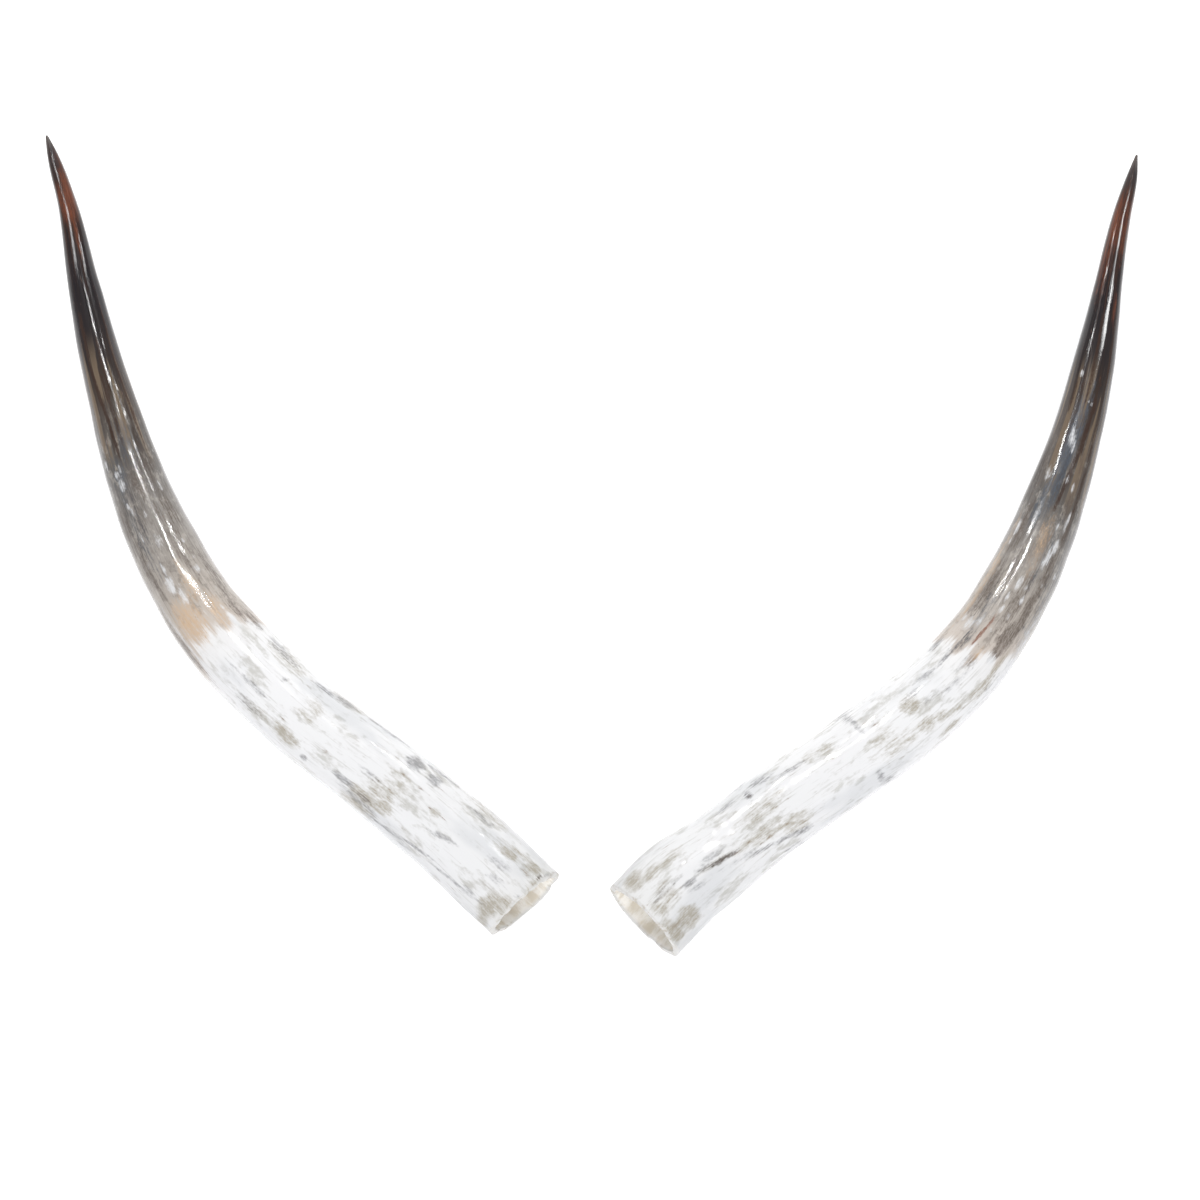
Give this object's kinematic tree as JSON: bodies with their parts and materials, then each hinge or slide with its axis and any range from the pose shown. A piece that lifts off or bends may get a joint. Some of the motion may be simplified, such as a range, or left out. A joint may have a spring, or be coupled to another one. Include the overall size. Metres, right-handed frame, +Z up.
{
  "type": "pair of cow horns",
  "caption": "Pair of long polished steer horns, each one sweeping curve from a sawn, hollow base to a thin tip, lying on a table.",
  "frame": {"origin": "on the table, under the middle of the outer box of the pair as it lies", "axes": "+X across the pair towards the right-hand horn, +Y in plan from the sawn bases towards the tips, +Z up from the table"},
  "size_m": [1.0965, 0.8068, 0.0824],
  "materials": {
    "polished_horn": "polished keratin, white at the base and black-brown at the tip"
  },
  "bodies": {
    "root": {"left_horn": "polished_horn", "right_horn": "polished_horn"}
  },
  "joints": []
}
